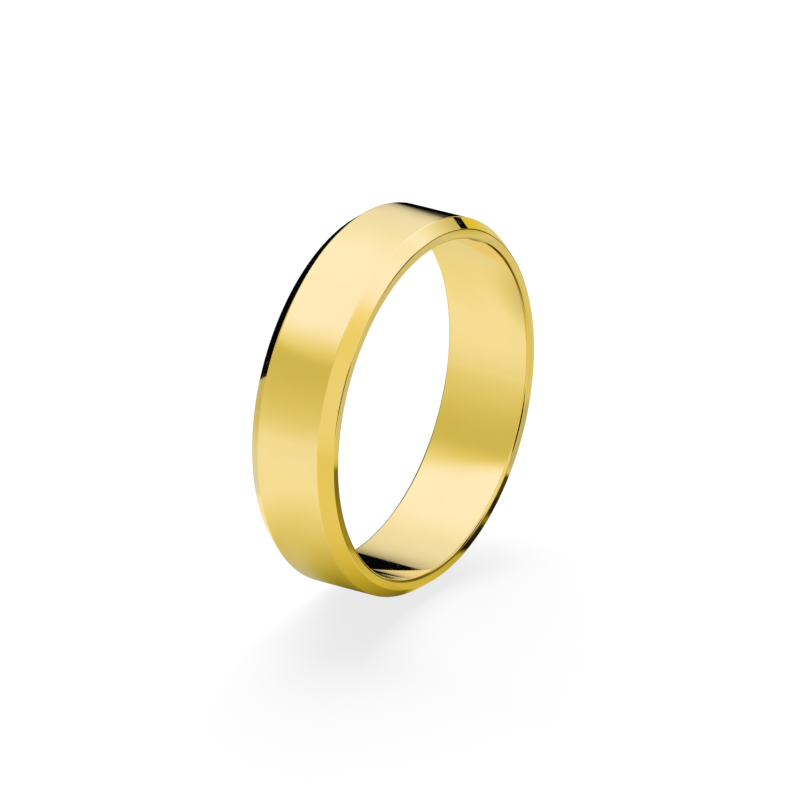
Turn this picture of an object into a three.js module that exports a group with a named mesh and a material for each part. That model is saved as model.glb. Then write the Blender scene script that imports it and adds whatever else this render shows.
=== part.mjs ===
// Wedding band: one solid ring of yellow gold with a flat outer face, a polished bevel along each side,
// narrow flat side faces and a smooth cylindrical bore whose edges are softened for the finger.
//
// Millimetres, +Z up. The ring stands upright on its rim: its axis lies along Y and the origin is the
// centre of the bore, halfway across the band's width.

import * as THREE from 'three';

// Driving dimensions
const BORE_DIAMETER = 18.0; // the finger hole: 56.5 mm around
const OUTER_DIAMETER = 20.1; // across the flat outer face
const BAND_WIDTH = 5.0; // along the ring's axis
const BEVEL_WIDTH = 0.685; // each bevel's share of the band's width
const BEVEL_DEPTH = 0.505; // how far each bevel falls towards the bore
const BORE_EDGE_RADIUS = 0.16; // rounding where the bore meets a side face

// Fineness of the faceted solid
const FACETS = 96; // around the ring, a multiple of 4, so that one facet faces straight down
const BORE_EDGE_STEPS = 2; // half the number of flats that make up each rounded bore edge

const FACET_ANGLE = (2 * Math.PI) / FACETS;

// The middle of each facet touches the true circle, so its corners lie a little outside it.
const CORNER_REACH = 1 / Math.cos(FACET_ANGLE / 2);

// The band's cross-section: x is the distance from the ring's axis and y runs along the axis. It goes
// up the outer face, over the upper bevel and side face, and down the bore.
function crossSection() {
  const outer = OUTER_DIAMETER / 2;
  const bore = BORE_DIAMETER / 2;
  const side = BAND_WIDTH / 2;
  const flat = side - BEVEL_WIDTH;
  const edgeX = bore + BORE_EDGE_RADIUS;
  const edgeY = side - BORE_EDGE_RADIUS;

  const outline = new THREE.Path();
  outline.moveTo(outer, -flat);
  outline.lineTo(outer, flat);
  outline.lineTo(outer - BEVEL_DEPTH, side);
  outline.lineTo(edgeX, side);
  outline.absarc(edgeX, edgeY, BORE_EDGE_RADIUS, Math.PI / 2, Math.PI, false);
  outline.lineTo(bore, -edgeY);
  outline.absarc(edgeX, -edgeY, BORE_EDGE_RADIUS, Math.PI, Math.PI * 1.5, false);
  outline.lineTo(outer - BEVEL_DEPTH, -side);
  outline.closePath();
  return outline.getPoints(BORE_EDGE_STEPS);
}

function bandGeometry() {
  const outline = crossSection().map((point) => new THREE.Vector2(point.x * CORNER_REACH, point.y));
  return new THREE.LatheGeometry(outline, FACETS, -FACET_ANGLE / 2, 2 * Math.PI);
}

const polishedGold = new THREE.MeshStandardMaterial({
  color: 0xe6c26a,
  roughness: 0.12,
  metalness: 1.0,
});

const band = new THREE.Mesh(bandGeometry(), polishedGold);
band.name = 'band';

const weddingBand = new THREE.Group();
weddingBand.add(band);

export default weddingBand;
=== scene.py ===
"""A polished gold wedding band standing on its rim on a white studio floor.

Lengths are in metres, except where the light in the room is painted, which counts in millimetres. Headings,
elevations and the camera's azimuth are in degrees.
"""
from collections import namedtuple
import math

import bpy
import numpy as np
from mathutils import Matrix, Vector


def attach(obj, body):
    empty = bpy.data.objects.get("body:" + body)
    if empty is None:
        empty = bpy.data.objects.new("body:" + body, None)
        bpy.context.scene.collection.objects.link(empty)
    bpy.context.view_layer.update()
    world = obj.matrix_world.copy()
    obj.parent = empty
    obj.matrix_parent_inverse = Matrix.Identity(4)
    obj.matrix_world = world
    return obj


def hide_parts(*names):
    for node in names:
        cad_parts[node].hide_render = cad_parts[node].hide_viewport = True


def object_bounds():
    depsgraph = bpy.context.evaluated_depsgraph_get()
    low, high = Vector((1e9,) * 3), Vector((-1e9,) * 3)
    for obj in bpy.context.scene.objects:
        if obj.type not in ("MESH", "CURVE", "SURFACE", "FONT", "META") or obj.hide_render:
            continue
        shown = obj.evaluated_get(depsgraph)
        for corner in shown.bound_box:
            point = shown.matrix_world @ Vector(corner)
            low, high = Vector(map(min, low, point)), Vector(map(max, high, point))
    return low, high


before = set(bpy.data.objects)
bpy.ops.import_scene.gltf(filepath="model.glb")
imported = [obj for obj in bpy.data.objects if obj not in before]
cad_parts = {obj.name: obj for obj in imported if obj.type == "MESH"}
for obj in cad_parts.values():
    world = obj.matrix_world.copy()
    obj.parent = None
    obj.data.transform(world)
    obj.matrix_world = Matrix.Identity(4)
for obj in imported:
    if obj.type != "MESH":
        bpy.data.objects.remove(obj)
cad_low, cad_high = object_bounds()

MM = 0.001

# The band: its outer size comes from the frame, the rest is how such a ring is made
OUTER_RADIUS = (cad_high.x - cad_low.x) / 2
BAND_WIDTH = cad_high.y - cad_low.y
BORE_RADIUS = 9.0 * MM
BEVEL_WIDTH = 0.685 * MM
BEVEL_DEPTH = 0.505 * MM
BORE_EDGE_RADIUS = 0.16 * MM
OUTER_EDGE_RADIUS = 0.18 * MM
SIDE_EDGE_RADIUS = 0.08 * MM
SEGMENTS = 720
EDGE_STEPS = 6
BORE_EDGE_STEPS = 10

# The gold: two alloy tints that it drifts between, and the marks that polishing and wear leave
GOLD = (0.97, 0.83, 0.50)
GOLD_DEEP = (0.955, 0.80, 0.455)
TINT_PATCH = 3.5 * MM
TINT_DETAIL = 3.0
TINT_RANGE = (0.35, 0.75)
POLISH_LINE = 0.045 * MM
POLISH_LINE_LENGTH = 4.0 * MM
POLISH_DETAIL = 2.0
POLISH_SIDE_CROWDING = 2.0
POLISH_DEPTH = 0.00011 * MM
POLISH_ROUGHNESS = (0.022, 0.040)
WORN_ROUGHNESS = 0.05
WEAR_SHARES = (0.3, 1.0)
HAIRLINE = 0.03 * MM
HAIRLINE_LENGTH = 0.8 * MM
HAIRLINE_DETAIL = 1.0
HAIRLINE_DEPTH = 0.0004 * MM
HAIRLINE_ROUGHNESS = 0.09
HAIRLINE_PEAKS = (0.72, 0.80)
HAIRLINE_TURNS = ((0.5, 0.3, 1.1), (-0.9, 1.2, -0.4))
RIPPLE = 2.2 * MM
RIPPLE_DETAIL = 1.0
RIPPLE_DEPTH = 0.0012 * MM
MIDDLE_OF_NOISE = (0.3, 0.7)

# The room that only the metal sees: a dome round the ring, its floor, and two black cards on arcs
FLOOR_Z = cad_low.z
DOME_RADIUS = 50.0 * MM
DOME_ELEVATIONS = (-13.0, 90.0)
DOME_ROWS = 207
EVERY_DEGREE = np.radians(np.arange(361))
GROUND_ROWS = 240
GROUND_CENTRE = 0.001
GROUND_CROWDING = 1.6
CARD_COLUMNS = 65
CARD_RADIUS = 43.0 * MM
CARD_HEADINGS = (25.0, 91.2)
CARD_TOP = 6.5 * MM
CARD_RISE = 4.7 * MM
CARD_RISE_HEADINGS = (36, 60)
CARD_END_RISE = 19.0 * MM
CARD_END_HEADINGS = (60, 75)
STRIP_RADIUS = 45.0 * MM
STRIP_HEADINGS = (-14.0, 25.0)
STRIP_LOW = 17.2 * MM
STRIP_HIGH = 24.7 * MM
CARD_BLACK = 0.002

# The light in the room, as the painting functions use it: millimetres and degrees, and a level of 1 is white.
# Over a pair of places or angles something starts at the first and is complete at the second, and four limits
# are those of within(). Headings run from +X towards +Y, and elevations up from the ring's centre.

# The colours that show in the gold, for a red of one. The warm one changes with its brightness.
NEUTRAL_IN_GOLD = (1, 0.82, 0.44)
HOT_IN_GOLD = (1, 0.665, 0.03)
WARM_GREEN, WARM_GREEN_RISE, WARM_GREEN_PALER = 0.69, 0.08, 0.05
WARM_BLUE, WARM_BLUE_CURVE, WARM_BLUE_PALER = 0.11, 1.4, 0.36
PALER_CURVE = 6

# Plain areas of the dome
Panel = namedtuple("Panel", "headings elevations level warm")
DOWN_TO_THE_FLOOR = (-90, -89)
DARK_CARD = {"level": 0.02, "warm": 1.6}
UPPER_CARD = Panel((-77, -73, -54, -46), (17, 20, 46, 50), **DARK_CARD)
RIGHT_FOOT = Panel((-62, -55, -1, 1), (*DOWN_TO_THE_FLOOR, -11.3, -10.6), level=0.76, warm=0.95)
FRONT_RIGHT = Panel((-62, -55, -1, 1), (-11.3, -10.6, 17, 23), level=0.13, warm=1.5)
BESIDE_CARD = Panel((86, 88.5, 96, 112), (*DOWN_TO_THE_FLOOR, 5, 25), level=0.60, warm=0.8)
NARROW_LIGHT = Panel((-1, 3, 17, 22), (34, 40, 62, 68), level=1.1, warm=0.3)

# Round areas of the floor, each of which fades in between two distances, given as shares of the radii
Spot = namedtuple("Spot", "centre radii edge")
# The next spots are painted dark patches and painted shade in the floor that the metal mirrors
DARK_PATCH = Spot((8.2, -9.3), (1, 1), (6.9, 6.1))
DARK_PATCH_HALO = Spot((8.2, -9.3), (1, 1), (11.5, 6.5))
DARK_PATCH_BACK = Spot((10.2, -3.5), (4.2, 3.6), (1.06, 0.94))
DARK_PATCH_SIDE = Spot((12.9, -7.4), (1.7, 2.4), (1.1, 0.8))
DARK_PATCH_CORNER = Spot((15, -12.5), (1, 1), (3.4, 2.6))
BESIDE_DARK_PATCH = Spot((19.2, -9.8), (5, 4), (1.15, 0.75))

# The left wall, which is the whole dome at first
WALL_LEVEL = 0.63
WALL_FOOT_LIFT = 0.22
WALL_FOOT_FROM, WALL_FOOT_SPAN, WALL_FOOT_MOST, WALL_FOOT_CURVE = 30, 35, 1.1, 1.6
WALL_BASE_LIFT, WALL_BASE = 0.02, (5, -8)
WALL_DIP, WALL_DIP_HEADINGS, WALL_DIP_ELEVATIONS = 0.06, (155, 145), (8, -6)

# The front wall
FRONT_WALL = (165, 185, 310, 330)
FRONT_LEVEL, FRONT_FOOT_DROP, FRONT_FOOT = 0.85, 0.03, (0, -12)
FRONT_WARM, FRONT_COOLER, FRONT_COOL_ELEVATION, FRONT_COOL_SPAN = 1.45, 0.24, 12, 18

# The black card before the front wall
FRONT_CARD = (219, 221, 286, 290)
FRONT_CARD_BOTTOMS, FRONT_CARD_DIPS = (-6, -10), (262, 274)
FRONT_CARD_TOP = 12
FRONT_CARD_RISE, FRONT_CARD_RISES = 8, (224, 231)
FRONT_CARD_FALL, FRONT_CARD_FALLS = 22, (240, 290)
FRONT_CARD_BOTTOM_EDGE, FRONT_CARD_TOP_EDGE = 2, 4

# The right wall, whose upper part starts at a sharp line
RIGHT_LINE = (22, 23)
RIGHT_START, RIGHT_START_ABOVE, RIGHT_END = (-1, 1), (-55, -30), (26, 24)
RIGHT_LOW_LEVEL, RIGHT_LOW_LIFT, RIGHT_LOW = 0.73, 0.03, (0, 15)
RIGHT_LOW_WARM, RIGHT_WARMER, RIGHT_WARMER_HEADINGS = 0.88, 1.07, (12, 4)
RIGHT_HIGH_LEVEL, RIGHT_HIGH_LIFT, RIGHT_HIGH, RIGHT_HIGH_CURVE = 0.60, 0.40, (27, 66), 0.45
RIGHT_HIGH_WARM = 0.75

# The back wall above the black card
BACK_WALL = (24, 26, 86, 88.5)
BACK_LEVELS, BACK_WARM = (0.05, 0.9), 0.25
BACK_DIM, BACK_DIM_FROM, BACK_DIM_LOWEST, BACK_DIM_FADE = 0.40, 12.6, 7.0, 7.2
BACK_SLOPE, BACK_SLOPE_HEADING, BACK_SLOPE_REACH, BACK_SLOPE_ENDS = 1.8, 29.2, (-3, 2), (32.5, 30.5)

# The painted softbox overhead, on a ceiling one unit above the ring's centre
OVERHEAD_ALONG = (-0.88, -0.56, 1.0, 1.3)
OVERHEAD_RIGHT, OVERHEAD_LEFT, OVERHEAD_WING_LEFT = (1.0, 0.2), (-1.1, -0.15), (-1.6, -0.60)
OVERHEAD_WING = (0.22, 0.45, 0.70, 0.85)
OVERHEAD_LEVEL, OVERHEAD_WARM, OVERHEAD_LOWEST = 1.01, 1.0, 1
OVERHEAD_EDGE_WARM, OVERHEAD_EDGE = 0.6, (0, -0.3)

# The elevations between which a place on the ceiling is worked out
FINITE_ELEVATIONS = (0.5, 89.5)

# The open floor
GROUND_LEVEL, GROUND_WARM = 0.93, 1.12
RIGHT_SHADE, RIGHT_SHADE_X, RIGHT_SHADE_Y = 0.12, (-2, 14), (-2, 4)
FAR_SHADES, FAR_SHADE_HEADINGS, FAR_SHADE_REACH = (0.024, 0.06), (155, 145), (12, 47)
WIDE_SHADE, WIDE_SHADE_WIDTH, BESIDE_THE_RING = 0.43, 11.5, (8, 4)
CLOSE_SHADE, CLOSE_SHADE_WIDTH, CLOSE_TO_THE_RING = 0.50, 6.0, (3.5, 0.5)
RIGHT_COOLER, RIGHT_COOLER_X = 0.27, (4, 12)
FAR_COOLER, FAR_COOLER_REACH = 0.25, (20, 40)
CONTACT_WARMS, CONTACT_WARM_Y, CONTACT_WARM_WIDTH = (2.0, 0.0), (0.3, 3.4), 7.0

# The floor straight behind the ring
BEHIND_FROM, BEHIND_MIDDLE, BEHIND_EDGE = (13.4, 15.2), -2.5, (9, 4)
BEHIND_LEVEL, BEHIND_DROP, BEHIND_DROPS = 0.74, 0.08, (25, 43)
BEHIND_WARMS, BEHIND_WARM_NEAR, BEHIND_WARM_FAR = (0.3, 0.6), (14, 18), (18, 40)

# The floor in front of the ring
BEFORE_LEVEL, BEFORE_WARM, BEFORE_CONTACT_WARMER = 0.79, 1.45, 0.9
BEFORE_EDGES = ((1, 0.2), (-1, 0.3))
CONTACT_HALF, CONTACT_STRETCH, CONTACT_RADIUS, CONTACT_CURVE = 0.6, 2.2, 7.0, 1.7
CONTACT_RIGHT_LIGHT, CONTACT_RIGHT_X = 0.84, (-2.4, -0.6)
FRONT_OF_RIGHT_X, FRONT_OF_RIGHT_Y = (9, 17), (-1, -5)
FRONT_OF_RIGHT, FRONT_CORNER = {"level": 0.72, "warm": 0.9}, {"level": 0.64, "warm": 0.6}
CORNER_SLANT, CORNER_Y, CORNER_EDGE = 0.3, -12, (1, -1.5)

# Painted dark patches in the mirrored floor in front of the ring, the main one round, with painted shade
# round it
HALO_SHARE, HALO_RIGHT_END = 0.5, (13, 9)
DARK_PATCH_LEVEL, DARK_PATCH_LIGHT, DARK_PATCH_LIT = 0.01, 0.32, (-6.5, -9)
DARK_PATCH_DROP, DARK_PATCH_DROP_X = 0.14, (3, 9)
DARK_PATCH_BACK_LEVEL, DARK_PATCH_BACK_LIGHT, DARK_PATCH_BACK_LIT_X, DARK_PATCH_BACK_LIT_WIDTH = 0.02, 0.22, 8.9, 0.6

# The studio that the camera sees: the floor glows a little below white, and a wide softbox brings it there
FLOOR_REACH = 4.0
FLOOR_WHITE = 0.8
FLOOR_ROUGHNESS = 0.9
FLOOR_FILL = 0.80
WORLD_STRENGTH = 1.1
SOFTBOX_SIZE = (1.2, 0.8)
SOFTBOX_PLACE = (0.6, 0.4)
SOFTBOX_HEIGHT = 0.4
SOFTBOX_WATTS = 4.2

# The camera looks at the ring's centre from this far away, through a long lens
CAMERA_AZIMUTH = -57.018
CAMERA_ELEVATION = 23.093
CAMERA_DISTANCE = 703.5 * MM
CAMERA_SEES_TO = 100.0
SENSOR_MM = 36.0
LENS_MM = 612.98
SHIFT_X = 0.00716
SHIFT_Y = -0.00045


# ---------------------------------------------------------------- the band

def arc(centre, radius, start, end, steps):
    """Profile points (radius from the axis, y, normal angle) along one rounded edge."""
    angles = np.linspace(start, end, steps + 1)
    return [
        (centre[0] + radius * math.cos(a), centre[1] + radius * math.sin(a), a)
        for a in angles
    ]


def edge_arc(corner, before, after, radius, steps):
    """Rounds the corner between two faces whose outward normals have these angles."""
    middle = (before + after) / 2
    reach = radius / math.cos((after - before) / 2)
    centre = (
        corner[0] - reach * math.cos(middle),
        corner[1] - reach * math.sin(middle),
    )
    return arc(centre, radius, before, after, steps)


def edge_wear(steps):
    """How worn each profile point of a rounded edge is: most at its middle."""
    return [math.sin(math.pi * i / steps) for i in range(steps + 1)]


def band_profile():
    """The closed cross-section, from the outer face over the +Y side and back along the bore."""
    half = BAND_WIDTH / 2
    outwards, sideways, inwards = 0.0, math.pi / 2, math.pi
    bevel_normal = math.atan2(BEVEL_DEPTH, BEVEL_WIDTH)
    edges = (
        ((OUTER_RADIUS, half - BEVEL_WIDTH), outwards, bevel_normal, OUTER_EDGE_RADIUS, EDGE_STEPS),
        ((OUTER_RADIUS - BEVEL_DEPTH, half), bevel_normal, sideways, SIDE_EDGE_RADIUS, EDGE_STEPS),
        ((BORE_RADIUS, half), sideways, inwards, BORE_EDGE_RADIUS, BORE_EDGE_STEPS),
    )
    points, wear = [], []
    for edge in edges:
        points += edge_arc(*edge)
        wear += edge_wear(edge[-1])
    mirrored = [(r, -y, -a) for r, y, a in reversed(points)]
    return points + mirrored, wear + wear[::-1]


def band_mesh():
    """The cross-section turned round the Y axis, with exact normals and each point's wear."""
    profile, wear = band_profile()
    count = len(profile)
    vertices, normals, faces = [], [], []
    for turn in np.arange(SEGMENTS) * (2 * math.pi / SEGMENTS):
        c, s = math.cos(turn), math.sin(turn)
        for r, y, a in profile:
            vertices.append((r * c, y, r * s))
            normals.append((math.cos(a) * c, math.sin(a), math.cos(a) * s))
    for i in range(SEGMENTS):
        here, there = i * count, (i + 1) % SEGMENTS * count
        for j in range(count):
            k = (j + 1) % count
            faces.append((here + j, here + k, there + k, there + j))
    mesh = bpy.data.meshes.new("wedding_band")
    mesh.from_pydata(vertices, [], faces)
    mesh.update()
    mesh.polygons.foreach_set("use_smooth", [True] * len(mesh.polygons))
    mesh.normals_split_custom_set_from_vertices(normals)
    worn = mesh.attributes.new("edge_wear", "FLOAT", "POINT")
    worn.data.foreach_set("value", np.tile(wear, SEGMENTS))
    return mesh


class Nodes:
    """Short ways to add and link the nodes of one material."""

    def __init__(self, tree):
        self.tree = tree

    def add(self, kind, **settings):
        node = self.tree.nodes.new(kind)
        for name, value in settings.items():
            setattr(node, name, value)
        return node

    def put(self, socket, value):
        if isinstance(value, bpy.types.NodeSocket):
            self.tree.links.new(value, socket)
        else:
            socket.default_value = value

    def math(self, operation, a, b=0.0):
        node = self.add("ShaderNodeMath", operation=operation)
        self.put(node.inputs[0], a)
        self.put(node.inputs[1], b)
        return node.outputs[0]

    def stretched(self, vector, sizes, turn=(0.0, 0.0, 0.0)):
        """The place counted in steps of these sizes, along turned axes."""
        node = self.add("ShaderNodeMapping")
        self.put(node.inputs["Vector"], vector)
        node.inputs["Rotation"].default_value = turn
        node.inputs["Scale"].default_value = [1 / size for size in sizes]
        return node.outputs["Vector"]

    def noise(self, vector, detail):
        node = self.add("ShaderNodeTexNoise")
        self.put(node.inputs["Vector"], vector)
        node.inputs["Scale"].default_value = 1.0
        node.inputs["Detail"].default_value = detail
        return node.outputs["Fac"]

    def between(self, value, limits, results=(0.0, 1.0)):
        """Goes smoothly from the first result to the second as the value crosses the limits."""
        node = self.add("ShaderNodeMapRange", interpolation_type="SMOOTHSTEP")
        self.put(node.inputs["Value"], value)
        node.inputs["From Min"].default_value, node.inputs["From Max"].default_value = limits
        node.inputs["To Min"].default_value, node.inputs["To Max"].default_value = results
        return node.outputs["Result"]

    def bump(self, height, depth, before=None):
        node = self.add("ShaderNodeBump")
        self.put(node.inputs["Height"], height)
        node.inputs["Strength"].default_value = 1.0
        node.inputs["Distance"].default_value = depth
        if before is not None:
            self.put(node.inputs["Normal"], before)
        return node.outputs["Normal"]


def polish_lines(nodes, place):
    """Fine lines round the band, spaced along Y on the outer face and the bore, and outwards on the sides."""
    parts = nodes.add("ShaderNodeSeparateXYZ")
    nodes.put(parts.inputs[0], place)
    x, y, z = parts.outputs
    squares = nodes.math("ADD", nodes.math("MULTIPLY", x, x), nodes.math("MULTIPLY", z, z))
    outwards = nodes.math("SQRT", squares)
    across = nodes.math("ADD", y, nodes.math("MULTIPLY", outwards, POLISH_SIDE_CROWDING))
    along_band = nodes.add("ShaderNodeCombineXYZ")
    for socket, value in zip(along_band.inputs, (x, across, z)):
        nodes.put(socket, value)
    sizes = (POLISH_LINE_LENGTH, POLISH_LINE, POLISH_LINE_LENGTH)
    return nodes.noise(nodes.stretched(along_band.outputs[0], sizes), POLISH_DETAIL)


def hairline_scratches(nodes, place):
    """Two families of short scratches that cross each other, where stretched noise peaks."""
    sizes = (HAIRLINE, HAIRLINE_LENGTH, HAIRLINE_LENGTH)
    families = [
        nodes.between(nodes.noise(nodes.stretched(place, sizes, turn), HAIRLINE_DETAIL), HAIRLINE_PEAKS)
        for turn in HAIRLINE_TURNS
    ]
    return nodes.math("MAXIMUM", *families)


def gold_material():
    """Mirror-polished gold: polishing lines, a few hairlines, a faint ripple, and softer worn edges."""
    material = bpy.data.materials.new("polished_gold")
    material.use_nodes = True
    nodes = Nodes(material.node_tree)
    place = nodes.add("ShaderNodeTexCoord").outputs["Object"]
    polish = polish_lines(nodes, place)
    hairlines = hairline_scratches(nodes, place)
    ripple = nodes.noise(nodes.stretched(place, [RIPPLE] * 3), RIPPLE_DETAIL)
    patch = nodes.noise(nodes.stretched(place, [TINT_PATCH] * 3), TINT_DETAIL)
    wear = nodes.add("ShaderNodeAttribute", attribute_name="edge_wear").outputs["Fac"]

    tint = nodes.add("ShaderNodeMix", data_type="RGBA")
    nodes.put(tint.inputs["Factor"], nodes.between(patch, TINT_RANGE))
    tint.inputs["A"].default_value = (*GOLD, 1)
    tint.inputs["B"].default_value = (*GOLD_DEEP, 1)

    rough = nodes.between(polish, MIDDLE_OF_NOISE, POLISH_ROUGHNESS)
    worn = nodes.math("MULTIPLY", wear, nodes.between(patch, MIDDLE_OF_NOISE, WEAR_SHARES))
    rough = nodes.math("ADD", rough, nodes.math("MULTIPLY", worn, WORN_ROUGHNESS))
    rough = nodes.math("ADD", rough, nodes.math("MULTIPLY", hairlines, HAIRLINE_ROUGHNESS))

    normal = nodes.bump(ripple, RIPPLE_DEPTH)
    normal = nodes.bump(polish, POLISH_DEPTH, normal)
    normal = nodes.bump(hairlines, -HAIRLINE_DEPTH, normal)

    shader = material.node_tree.nodes["Principled BSDF"]
    shader.inputs["Metallic"].default_value = 1
    nodes.put(shader.inputs["Base Color"], tint.outputs["Result"])
    nodes.put(shader.inputs["Roughness"], rough)
    nodes.put(shader.inputs["Normal"], normal)
    return material


def add_to_scene(obj):
    bpy.context.scene.collection.objects.link(obj)
    return obj


def make_band():
    band = add_to_scene(bpy.data.objects.new("wedding_band", band_mesh()))
    band.data.materials.append(gold_material())
    band.visible_diffuse = False
    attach(band, "root")
    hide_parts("band")


# ---------------------------------------------------------------- the light in the room

def smooth(start, end, x):
    """0 before the start and 1 past the end, with a soft step between."""
    t = np.clip((x - start) / (end - start), 0, 1)
    return t * t * (3 - 2 * t)


def mix(a, b, share):
    return a + (b - a) * share


def hill(x, width):
    """1 at x = 0, falling like a bell."""
    return np.exp(-((x / width) ** 2))


def within(limits, x):
    """1 between the inner two of four limits, fading to 0 at the outer two."""
    start, full_from, full_to, end = limits
    return smooth(start, full_from, x) * smooth(end, full_to, x)


class Glow:
    """The light at each point, painted one area over another: how bright, and how warm."""

    def __init__(self, level, warm):
        self.level = level
        self.warm = warm

    def paint(self, share, level, warm):
        self.level = mix(self.level, level, share)
        self.warm = mix(self.warm, warm, share)

    def colour(self):
        """What shows in the gold is neutral at warm 0, warm at 1 (and paler where it is bright), hot at 2."""
        level = self.level
        paler = level**PALER_CURVE
        green = level * (WARM_GREEN + WARM_GREEN_RISE * level + WARM_GREEN_PALER * paler)
        blue = WARM_BLUE_PALER * paler + WARM_BLUE * level**WARM_BLUE_CURVE
        warmed = np.stack([level, green, blue], -1)
        neutral = level[:, None] * np.array(NEUTRAL_IN_GOLD)
        hot = level[:, None] * np.array(HOT_IN_GOLD)
        first = np.clip(self.warm, 0, 1)[:, None]
        second = np.clip(self.warm - 1, 0, 1)[:, None]
        return mix(mix(neutral, warmed, first), hot, second) / np.array(GOLD)


def paint_panel(glow, panel, heading, elevation):
    share = within(panel.headings, heading) * within(panel.elevations, elevation)
    glow.paint(share, panel.level, panel.warm)


def spot_share(spot, x, y):
    across = (x - spot.centre[0]) / spot.radii[0]
    along = (y - spot.centre[1]) / spot.radii[1]
    return smooth(*spot.edge, np.hypot(across, along))


def left_wall(heading, elevation):
    """The whole dome at first: it brightens towards its foot, less so behind the ring."""
    foot = np.clip((WALL_FOOT_FROM - elevation) / WALL_FOOT_SPAN, 0, WALL_FOOT_MOST)
    level = WALL_LEVEL + WALL_FOOT_LIFT * foot**WALL_FOOT_CURVE
    level = level + WALL_BASE_LIFT * smooth(*WALL_BASE, elevation)
    dip = smooth(*WALL_DIP_HEADINGS, heading) * smooth(*WALL_DIP_ELEVATIONS, elevation)
    return Glow(level - WALL_DIP * dip, np.ones(len(level)))


def paint_front(glow, turn, elevation):
    """A warm front wall, a little cooler halfway up."""
    level = FRONT_LEVEL - FRONT_FOOT_DROP * smooth(*FRONT_FOOT, elevation)
    warm = FRONT_WARM - FRONT_COOLER * hill(elevation - FRONT_COOL_ELEVATION, FRONT_COOL_SPAN)
    glow.paint(within(FRONT_WALL, turn), level, warm)


def paint_front_card(glow, turn, elevation):
    """A black card before the front wall, whose bottom steps down and whose top slopes."""
    bottom = mix(*FRONT_CARD_BOTTOMS, smooth(*FRONT_CARD_DIPS, turn))
    top = FRONT_CARD_TOP + FRONT_CARD_RISE * smooth(*FRONT_CARD_RISES, turn)
    top = top - FRONT_CARD_FALL * smooth(*FRONT_CARD_FALLS, turn)
    card = within(FRONT_CARD, turn) * smooth(bottom, bottom + FRONT_CARD_BOTTOM_EDGE, elevation)
    card = card * smooth(top + FRONT_CARD_TOP_EDGE, top, elevation)
    glow.paint(card, **DARK_CARD)


def paint_right(glow, heading, elevation, height):
    """The right wall: plain below, and above a sharp line a light that grows towards the ceiling."""
    upper = smooth(*RIGHT_LINE, height)
    right = np.maximum(smooth(*RIGHT_START, heading), upper * smooth(*RIGHT_START_ABOVE, heading))
    low_level = RIGHT_LOW_LEVEL + RIGHT_LOW_LIFT * smooth(*RIGHT_LOW, elevation)
    high_level = RIGHT_HIGH_LEVEL + RIGHT_HIGH_LIFT * smooth(*RIGHT_HIGH, height) ** RIGHT_HIGH_CURVE
    low_warm = RIGHT_LOW_WARM + RIGHT_WARMER * smooth(*RIGHT_WARMER_HEADINGS, heading)
    level = mix(low_level, high_level, upper)
    glow.paint(right * smooth(*RIGHT_END, heading), level, mix(low_warm, RIGHT_HIGH_WARM, upper))


def paint_back(glow, heading, height):
    """The back wall above the black card: dim at its foot and bright higher up, with a slope at one end."""
    slope = BACK_SLOPE * np.clip(heading - BACK_SLOPE_HEADING, *BACK_SLOPE_REACH)
    height = np.maximum(height + slope * smooth(*BACK_SLOPE_ENDS, heading), BACK_DIM_LOWEST)
    darkest, brightest = BACK_LEVELS
    level = brightest - BACK_DIM * np.exp(-(height - BACK_DIM_FROM) / BACK_DIM_FADE)
    glow.paint(within(BACK_WALL, heading), np.maximum(darkest, level), BACK_WARM)


def paint_overhead_softbox(glow, across, along, above):
    """A white softbox with a wing to the left, on a ceiling one unit above the ring's centre."""
    wing = within(OVERHEAD_WING, along)
    left = mix(smooth(*OVERHEAD_LEFT, across), smooth(*OVERHEAD_WING_LEFT, across), wing)
    softbox = left * smooth(*OVERHEAD_RIGHT, across) * within(OVERHEAD_ALONG, along) * above
    glow.paint(softbox, OVERHEAD_LEVEL, OVERHEAD_WARM)
    soft_edge = softbox * (1 - softbox) * smooth(*OVERHEAD_EDGE, across)
    glow.warm = glow.warm + OVERHEAD_EDGE_WARM * soft_edge


def dome_light(points):
    """The walls and the ceiling. Heading runs from -90 to 270 and turn from 0 to 360 degrees, so that each
    area can use the one that doesn't wrap round inside it."""
    q = points / DOME_RADIUS
    heading = np.degrees(np.arctan2(q[:, 1], q[:, 0]))
    heading = np.where(heading < -90, heading + 360, heading)
    turn = heading % 360
    elevation = np.degrees(np.arcsin(np.clip(q[:, 2], -1, 1)))
    rise = np.tan(np.radians(np.clip(elevation, *FINITE_ELEVATIONS)))
    height = DOME_RADIUS / MM * rise
    across = np.cos(np.radians(heading)) / rise
    along = np.sin(np.radians(heading)) / rise

    glow = left_wall(heading, elevation)
    paint_front(glow, turn, elevation)
    paint_front_card(glow, turn, elevation)
    paint_panel(glow, UPPER_CARD, heading, elevation)
    paint_panel(glow, RIGHT_FOOT, heading, elevation)
    paint_panel(glow, FRONT_RIGHT, heading, elevation)
    paint_right(glow, heading, elevation, height)
    paint_back(glow, heading, height)
    paint_panel(glow, BESIDE_CARD, heading, elevation)
    paint_overhead_softbox(glow, across, along, elevation > OVERHEAD_LOWEST)
    paint_panel(glow, NARROW_LIGHT, heading, elevation)
    return glow.colour()


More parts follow.
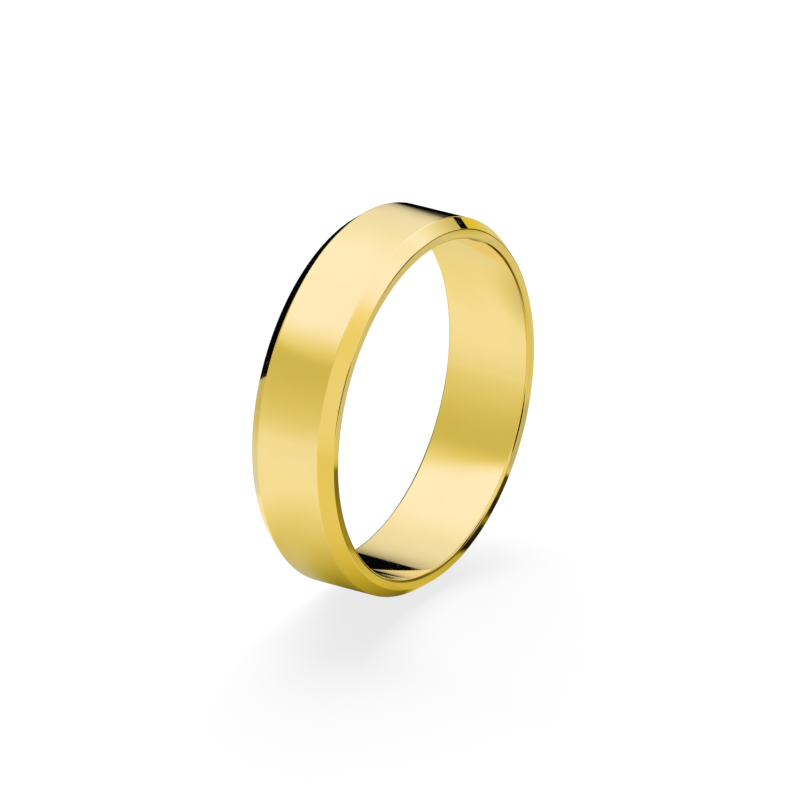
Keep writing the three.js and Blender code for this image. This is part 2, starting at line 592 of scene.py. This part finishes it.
def open_floor(x, y):
    """The floor at first: white, dimmer far away and to the right, and shaded where the ring stands."""
    reach = np.hypot(x, y)
    heading = np.degrees(np.arctan2(y, x))
    beside = smooth(*BESIDE_THE_RING, y)
    everywhere, behind = FAR_SHADES
    far_shade = everywhere + behind * smooth(*FAR_SHADE_HEADINGS, heading)
    level = GROUND_LEVEL - RIGHT_SHADE * smooth(*RIGHT_SHADE_X, x) * smooth(*RIGHT_SHADE_Y, y)
    level = level - far_shade * smooth(*FAR_SHADE_REACH, reach)
    level = level - WIDE_SHADE * hill(x, WIDE_SHADE_WIDTH) * beside
    level = level - CLOSE_SHADE * hill(x, CLOSE_SHADE_WIDTH) * smooth(*CLOSE_TO_THE_RING, y)
    warm = GROUND_WARM - RIGHT_COOLER * smooth(*RIGHT_COOLER_X, x)
    warm = warm - FAR_COOLER * smooth(*FAR_COOLER_REACH, reach)
    contact_warm = mix(*CONTACT_WARMS, smooth(*CONTACT_WARM_Y, y))
    return Glow(np.maximum(level, 0), mix(warm, contact_warm, hill(x, CONTACT_WARM_WIDTH) * beside))


def paint_behind(glow, x, y):
    """A dimmer strip straight behind the ring, warmer further off."""
    behind = smooth(*BEHIND_FROM, y) * smooth(*BEHIND_EDGE, np.abs(x - BEHIND_MIDDLE))
    near_warm, far_warm = BEHIND_WARMS
    warm = near_warm * smooth(*BEHIND_WARM_NEAR, y) + far_warm * smooth(*BEHIND_WARM_FAR, y)
    glow.paint(behind, BEHIND_LEVEL - BEHIND_DROP * smooth(*BEHIND_DROPS, y), warm)


def paint_before(glow, x, y):
    """The floor in front of the ring: dark at the contact, and dimmer to the right and in its corner."""
    from_contact = np.hypot(x, CONTACT_STRETCH * np.maximum(np.abs(y) - CONTACT_HALF, 0))
    light = 1 - np.exp(-((from_contact / CONTACT_RADIUS) ** CONTACT_CURVE))
    light = np.maximum(light, CONTACT_RIGHT_LIGHT * smooth(*CONTACT_RIGHT_X, x))
    left = np.minimum(x, 0)
    back_edge, front_edge = (y_there + slope * left for y_there, slope in BEFORE_EDGES)
    before = smooth(back_edge, front_edge, y)
    glow.paint(before, BEFORE_LEVEL * light, BEFORE_WARM + BEFORE_CONTACT_WARMER * (1 - light))
    right = smooth(*FRONT_OF_RIGHT_X, x)
    glow.paint(right * smooth(*FRONT_OF_RIGHT_Y, y), **FRONT_OF_RIGHT)
    glow.paint(right * smooth(*CORNER_EDGE, y + CORNER_SLANT * x - CORNER_Y), **FRONT_CORNER)


def paint_dark_patches(glow, x, y):
    """Painted dark patches in the mirrored floor in front of the ring: a round one with painted shade round
    it, and darker ones at its back and side.
    """
    glow.paint(spot_share(BESIDE_DARK_PATCH, x, y), level=0.53, warm=0.55)
    halo = HALO_SHARE * spot_share(DARK_PATCH_HALO, x, y) * smooth(*HALO_RIGHT_END, x)
    glow.paint(halo, level=0.35, warm=1.3)
    lit = (DARK_PATCH_LIGHT - DARK_PATCH_DROP * smooth(*DARK_PATCH_DROP_X, x)) * smooth(*DARK_PATCH_LIT, y)
    glow.paint(spot_share(DARK_PATCH, x, y), level=DARK_PATCH_LEVEL + lit, warm=1.7)
    lit = DARK_PATCH_BACK_LIGHT * hill(x - DARK_PATCH_BACK_LIT_X, DARK_PATCH_BACK_LIT_WIDTH)
    glow.paint(spot_share(DARK_PATCH_BACK, x, y), level=DARK_PATCH_BACK_LEVEL + lit, warm=1.8)
    glow.paint(spot_share(DARK_PATCH_SIDE, x, y), level=0.06, warm=1.7)
    glow.paint(spot_share(DARK_PATCH_CORNER, x, y), level=0.01, warm=1.7)


def ground_light(points):
    """The floor as the metal mirrors it."""
    x, y = points[:, 0] / MM, points[:, 1] / MM
    glow = open_floor(x, y)
    paint_behind(glow, x, y)
    paint_before(glow, x, y)
    paint_dark_patches(glow, x, y)
    return glow.colour()


def black(points):
    return np.full((len(points), 3), CARD_BLACK)


# ---------------------------------------------------------------- the room in the metal

def glow_material(name):
    material = bpy.data.materials.new(name)
    material.use_nodes = True
    material.cycles.emission_sampling = "NONE"
    tree = material.node_tree
    tree.nodes.clear()
    colour = tree.nodes.new("ShaderNodeVertexColor")
    colour.layer_name = "light"
    glow = tree.nodes.new("ShaderNodeEmission")
    output = tree.nodes.new("ShaderNodeOutputMaterial")
    tree.links.new(colour.outputs["Color"], glow.inputs["Color"])
    tree.links.new(glow.outputs["Emission"], output.inputs["Surface"])
    return material


def only_in_reflections(obj):
    obj.visible_camera = False
    obj.visible_diffuse = False
    obj.visible_transmission = False
    obj.visible_volume_scatter = False
    obj.visible_shadow = False


def glowing_grid(name, points, light):
    """A grid of points (rows, columns, 3) as a mesh that glows with the light at each point."""
    rows, columns = points.shape[:2]
    flat = points.reshape(-1, 3)
    faces = [
        (i * columns + j, i * columns + j + 1, (i + 1) * columns + j + 1, (i + 1) * columns + j)
        for i in range(rows - 1)
        for j in range(columns - 1)
    ]
    mesh = bpy.data.meshes.new(name)
    mesh.from_pydata(flat.tolist(), [], faces)
    colours = mesh.color_attributes.new("light", "FLOAT_COLOR", "POINT")
    shades = np.ones((len(flat), 4))
    shades[:, :3] = light(flat)
    colours.data.foreach_set("color", shades.ravel())
    mesh.materials.append(glow_material(name))
    only_in_reflections(add_to_scene(bpy.data.objects.new(name, mesh)))


def upright_card(name, radius, turn, low, high):
    """A black card on an arc round the ring; low and high are its edges, one height or one for each turn."""
    x, y = radius * np.cos(turn), radius * np.sin(turn)
    rows = [np.stack([x, y, edge + 0 * turn], -1) for edge in (low, high)]
    glowing_grid(name, np.stack(rows), black)


def make_dome():
    elevations = np.linspace(*DOME_ELEVATIONS, DOME_ROWS)
    turn, rise = np.meshgrid(EVERY_DEGREE, np.radians(elevations))
    across = np.cos(rise)
    dome = DOME_RADIUS * np.stack([across * np.cos(turn), across * np.sin(turn), np.sin(rise)], -1)
    glowing_grid("studio_dome", dome, dome_light)


def make_ground():
    """The mirrored floor, with its rows closer together near the ring."""
    reaches = DOME_RADIUS * np.linspace(GROUND_CENTRE, 1, GROUND_ROWS) ** GROUND_CROWDING
    turn, reach = np.meshgrid(EVERY_DEGREE, reaches)
    ground = np.stack([reach * np.cos(turn), reach * np.sin(turn), np.full(turn.shape, FLOOR_Z)], -1)
    glowing_grid("floor_in_the_metal", ground, ground_light)


def make_cards():
    headings = np.linspace(*CARD_HEADINGS, CARD_COLUMNS)
    top = CARD_TOP + CARD_RISE * smooth(*CARD_RISE_HEADINGS, headings)
    top = top + CARD_END_RISE * smooth(*CARD_END_HEADINGS, headings)
    upright_card("black_card", CARD_RADIUS, np.radians(headings), FLOOR_Z, top)
    headings = np.linspace(*STRIP_HEADINGS, CARD_COLUMNS)
    upright_card("black_strip", STRIP_RADIUS, np.radians(headings), STRIP_LOW, STRIP_HIGH)


# ---------------------------------------------------------------- the studio that the camera sees

def make_floor():
    signs = ((-1, -1), (1, -1), (1, 1), (-1, 1))
    corners = [(FLOOR_REACH * x, FLOOR_REACH * y, FLOOR_Z) for x, y in signs]
    mesh = bpy.data.meshes.new("studio_floor")
    mesh.from_pydata(corners, [], [(0, 1, 2, 3)])
    material = bpy.data.materials.new("white_floor")
    material.use_nodes = True
    shader = material.node_tree.nodes["Principled BSDF"]
    shader.inputs["Base Color"].default_value = (FLOOR_WHITE, FLOOR_WHITE, FLOOR_WHITE, 1)
    shader.inputs["Roughness"].default_value = FLOOR_ROUGHNESS
    shader.inputs["Specular IOR Level"].default_value = 0
    shader.inputs["Emission Color"].default_value = (1, 1, 1, 1)
    shader.inputs["Emission Strength"].default_value = FLOOR_FILL
    mesh.materials.append(material)
    floor = add_to_scene(bpy.data.objects.new("studio_floor", mesh))
    floor.visible_glossy = False


def make_world():
    """A white world behind the floor, which lights nothing."""
    world = bpy.data.worlds.new("studio_world")
    world.use_nodes = True
    background = world.node_tree.nodes["Background"]
    background.inputs["Color"].default_value = (1, 1, 1, 1)
    background.inputs["Strength"].default_value = WORLD_STRENGTH
    world.cycles_visibility.glossy = False
    world.cycles_visibility.diffuse = False
    bpy.context.scene.world = world


def make_softbox():
    """One wide soft light overhead, for the ring's shadow on the floor."""
    light = bpy.data.lights.new("wide_softbox", "AREA")
    light.shape = "RECTANGLE"
    light.size, light.size_y = SOFTBOX_SIZE
    light.energy = SOFTBOX_WATTS
    softbox = add_to_scene(bpy.data.objects.new("wide_softbox", light))
    softbox.location = (*SOFTBOX_PLACE, FLOOR_Z + SOFTBOX_HEIGHT)
    softbox.visible_glossy = False


def make_camera():
    camera = bpy.data.cameras.new("camera")
    camera.sensor_width = SENSOR_MM
    camera.lens = LENS_MM
    camera.shift_x = SHIFT_X
    camera.shift_y = SHIFT_Y
    camera.clip_end = CAMERA_SEES_TO
    azimuth, elevation = math.radians(CAMERA_AZIMUTH), math.radians(CAMERA_ELEVATION)
    back = Vector((
        math.sin(azimuth) * math.cos(elevation),
        -math.cos(azimuth) * math.cos(elevation),
        math.sin(elevation),
    ))
    obj = add_to_scene(bpy.data.objects.new("camera", camera))
    obj.location = back * CAMERA_DISTANCE
    obj.rotation_euler = back.to_track_quat("Z", "Y").to_euler()
    bpy.context.scene.camera = obj


make_camera()
make_band()
make_dome()
make_ground()
make_cards()
make_floor()
make_world()
make_softbox()
bpy.context.scene.view_settings.view_transform = "Standard"
